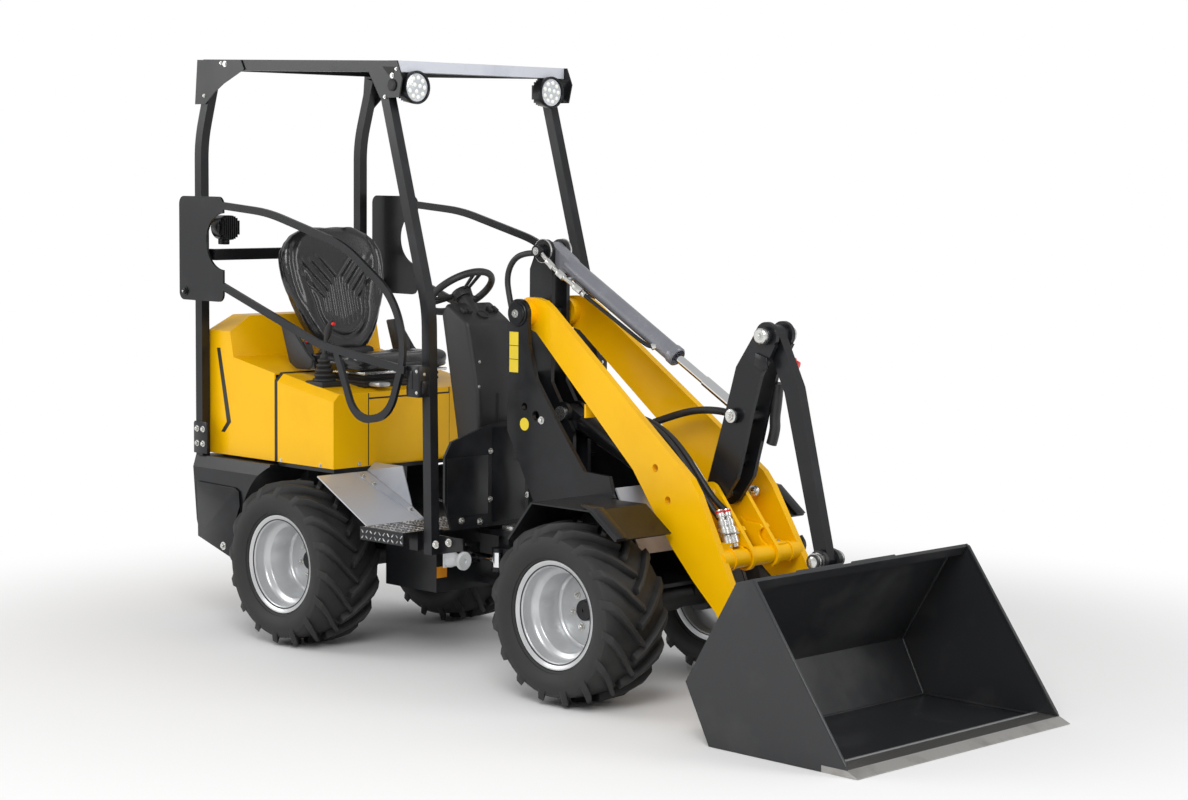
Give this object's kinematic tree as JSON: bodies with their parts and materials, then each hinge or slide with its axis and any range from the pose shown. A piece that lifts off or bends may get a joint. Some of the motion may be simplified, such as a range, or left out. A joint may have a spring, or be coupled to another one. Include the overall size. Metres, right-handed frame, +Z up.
{
  "type": "mini wheel loader",
  "caption": "Compact articulated wheel loader with an open canopy, lift arms on a narrow tower, a tilt crank and a light material bucket resting on the floor.",
  "frame": {"origin": "Floor level under the middle of the overall length, on the centre plane.", "axes": "X forward towards the bucket, Y to the operator's left, Z up."},
  "size_m": [3.257, 1.022, 2.039],
  "materials": {
    "arm_paint": "satin black paint",
    "black_plastic": "moulded black plastic",
    "body_paint": "gloss yellow paint",
    "cast": "painted casting",
    "frame_paint": "satin black paint",
    "grey_paint": "satin grey paint",
    "hose_rubber": "black hose",
    "lamp": "clear lens in a black shell",
    "rim_paint": "satin silver paint",
    "rod_chrome": "hard chrome",
    "seat_cover": "black grained vinyl",
    "steel": "bare steel",
    "tyre_rubber": "black tyre rubber"
  },
  "bodies": {
    "chassis": {"rear_frame": "frame_paint", "joint_pin": "steel", "rear_axle": "cast", "counterweight": "cast", "hood_hinges": "frame_paint", "engine": "cast", "seat_box": "body_paint", "body_sill": "frame_paint", "floor_plate": "grey_paint", "heel_panels": "grey_paint", "leg_shield": "frame_paint", "console": "black_plastic", "seat_base": "black_plastic", "seat_cushion": "seat_cover", "seat_back": "seat_cover", "seat_brackets": "frame_paint", "joystick": "black_plastic", "rear_posts": "frame_paint", "front_posts": "frame_paint", "roof": "frame_paint", "work_lamps": "lamp"},
    "hood": {"hood": "body_paint"},
    "guard_left": {"guard_left": "frame_paint"},
    "guard_right": {"guard_right": "frame_paint"},
    "steering_wheel": {"steering_wheel": "black_plastic"},
    "wheel_rear_left": {"rim_rear_left": "rim_paint", "tyre_rear_left": "tyre_rubber"},
    "wheel_rear_right": {"rim_rear_right": "rim_paint", "tyre_rear_right": "tyre_rubber"},
    "wheel_front_left": {"rim_front_left": "rim_paint", "tyre_front_left": "tyre_rubber"},
    "wheel_front_right": {"rim_front_right": "rim_paint", "tyre_front_right": "tyre_rubber"},
    "front": {"front_chassis": "frame_paint", "tower": "frame_paint", "front_axle": "cast", "boom_pin": "steel", "lift_base_pin": "steel", "nose_panel": "grey_paint", "fenders": "frame_paint", "tilt_pin": "steel", "tower_hose": "hose_rubber"},
    "boom": {"boom": "body_paint", "crank_pin": "steel", "boom_hose": "hose_rubber"},
    "crank": {"crank": "arm_paint", "link_pin": "steel"},
    "link": {"link": "arm_paint"},
    "bucket": {"bucket": "arm_paint", "cutting_edge": "steel", "hitch": "arm_paint", "hitch_pins": "steel"},
    "lift_barrel": {"lift_barrel": "frame_paint"},
    "lift_rod": {"lift_rod": "rod_chrome"},
    "tilt_barrel": {"tilt_barrel": "frame_paint"},
    "tilt_piston": {"tilt_piston": "steel"},
    "tilt_rod": {"tilt_rod": "rod_chrome"},
    "steer_barrel": {"steer_barrel": "frame_paint"},
    "steer_rod": {"steer_rod": "rod_chrome"}
  },
  "joints": [
    {"name": "steer", "type": "hinge", "parent": "chassis", "child": "front", "pos_m": [-0.291, 0, 0.345], "axis": [0, 0, 1], "range_deg": [-40, 40]},
    {"name": "wheel_front_left_spin", "type": "hinge", "parent": "front", "child": "wheel_front_left", "pos_m": [0.3885, 0.3595, 0.288], "axis": [0, 1, 0], "continuous": true},
    {"name": "wheel_front_right_spin", "type": "hinge", "parent": "front", "child": "wheel_front_right", "pos_m": [0.3885, -0.3595, 0.288], "axis": [0, 1, 0], "continuous": true},
    {"name": "wheel_rear_left_spin", "type": "hinge", "parent": "chassis", "child": "wheel_rear_left", "pos_m": [-0.9705, 0.3595, 0.288], "axis": [0, 1, 0], "continuous": true},
    {"name": "wheel_rear_right_spin", "type": "hinge", "parent": "chassis", "child": "wheel_rear_right", "pos_m": [-0.9705, -0.3595, 0.288], "axis": [0, 1, 0], "continuous": true},
    {"name": "hood_lift", "type": "hinge", "parent": "chassis", "child": "hood", "pos_m": [-1.5825, 0, 0.629], "axis": [0, -1, 0], "range_deg": [0, 65]},
    {"name": "guard_left_lift", "type": "hinge", "parent": "chassis", "child": "guard_left", "pos_m": [-1.5235, 0.452, 1.213], "axis": [0, -1, 0], "range_deg": [0, 65]},
    {"name": "guard_right_lift", "type": "hinge", "parent": "chassis", "child": "guard_right", "pos_m": [-1.5235, -0.452, 1.213], "axis": [0, -1, 0], "range_deg": [0, 65]},
    {"name": "steering_wheel_turn", "type": "hinge", "parent": "chassis", "child": "steering_wheel", "pos_m": [-0.5585, 0, 1.236], "axis": [-0.6157, 0, 0.788], "continuous": true},
    {"name": "boom_lift", "type": "hinge", "parent": "front", "child": "boom", "pos_m": [-0.1025, 0, 1.188], "axis": [0, -1, 0], "range_deg": [0, 85]},
    {"name": "bucket_tilt", "type": "hinge", "parent": "boom", "child": "bucket", "pos_m": [0.9295, 0, 0.23], "axis": [0, 1, 0], "range_deg": [-35, 110]},
    {"name": "crank_turn", "type": "hinge", "parent": "boom", "child": "crank", "pos_m": [0.6655, 0, 0.656], "axis": [0, 1, 0], "range_deg": [-22.3, 69.03]},
    {"name": "link_turn", "type": "hinge", "parent": "crank", "child": "link", "pos_m": [0.8705, 0, 1.162], "axis": [0, 1, 0], "range_deg": [-48.24, 15.69]},
    {"name": "lift_barrel_turn", "type": "hinge", "parent": "front", "child": "lift_barrel", "pos_m": [-0.0155, 0, 0.858], "axis": [0, -1, 0], "range_deg": [-0.5, 83.8]},
    {"name": "lift_rod_slide", "type": "slide", "parent": "lift_barrel", "child": "lift_rod", "axis": [0.919, 0, -0.3943], "range_m": [-0.001, 0.45897]},
    {"name": "tilt_barrel_turn", "type": "hinge", "parent": "front", "child": "tilt_barrel", "pos_m": [-0.1035, 0, 1.391], "axis": [0, -1, 0], "range_deg": [-0.5, 90.4]},
    {"name": "tilt_piston_slide", "type": "slide", "parent": "tilt_barrel", "child": "tilt_piston", "axis": [0.8706, 0, -0.492], "range_m": [-0.26596, 0.001]},
    {"name": "tilt_rod_slide", "type": "slide", "parent": "tilt_piston", "child": "tilt_rod", "axis": [0.8706, 0, -0.492], "range_m": [-0.08628, 0.26901]},
    {"name": "steer_barrel_turn", "type": "hinge", "parent": "chassis", "child": "steer_barrel", "pos_m": [-0.6255, -0.095, 0.355], "axis": [0, 0, 1], "range_deg": [-6.22, 6.22]},
    {"name": "steer_rod_slide", "type": "slide", "parent": "steer_barrel", "child": "steer_rod", "axis": [0.998, -0.0632, 0], "range_m": [-0.07807, 0.07807]}
  ],
  "couplings": [
    {"joint": "crank_turn", "follows": "bucket_tilt", "ratio": 0.623},
    {"joint": "link_turn", "follows": "bucket_tilt", "ratio": -0.434},
    {"joint": "lift_barrel_turn", "follows": "boom_lift", "ratio": 0.98},
    {"joint": "lift_rod_slide", "follows": "boom_lift", "m_per_rad": 0.3087},
    {"joint": "tilt_barrel_turn", "follows": "boom_lift", "ratio": 1.0576},
    {"joint": "tilt_piston_slide", "follows": "boom_lift", "m_per_rad": -0.1786},
    {"joint": "tilt_rod_slide", "follows": "bucket_tilt", "m_per_rad": 0.1396},
    {"joint": "steer_barrel_turn", "follows": "steer", "ratio": 0.148},
    {"joint": "steer_rod_slide", "follows": "steer", "m_per_rad": 0.1104}
  ]
}
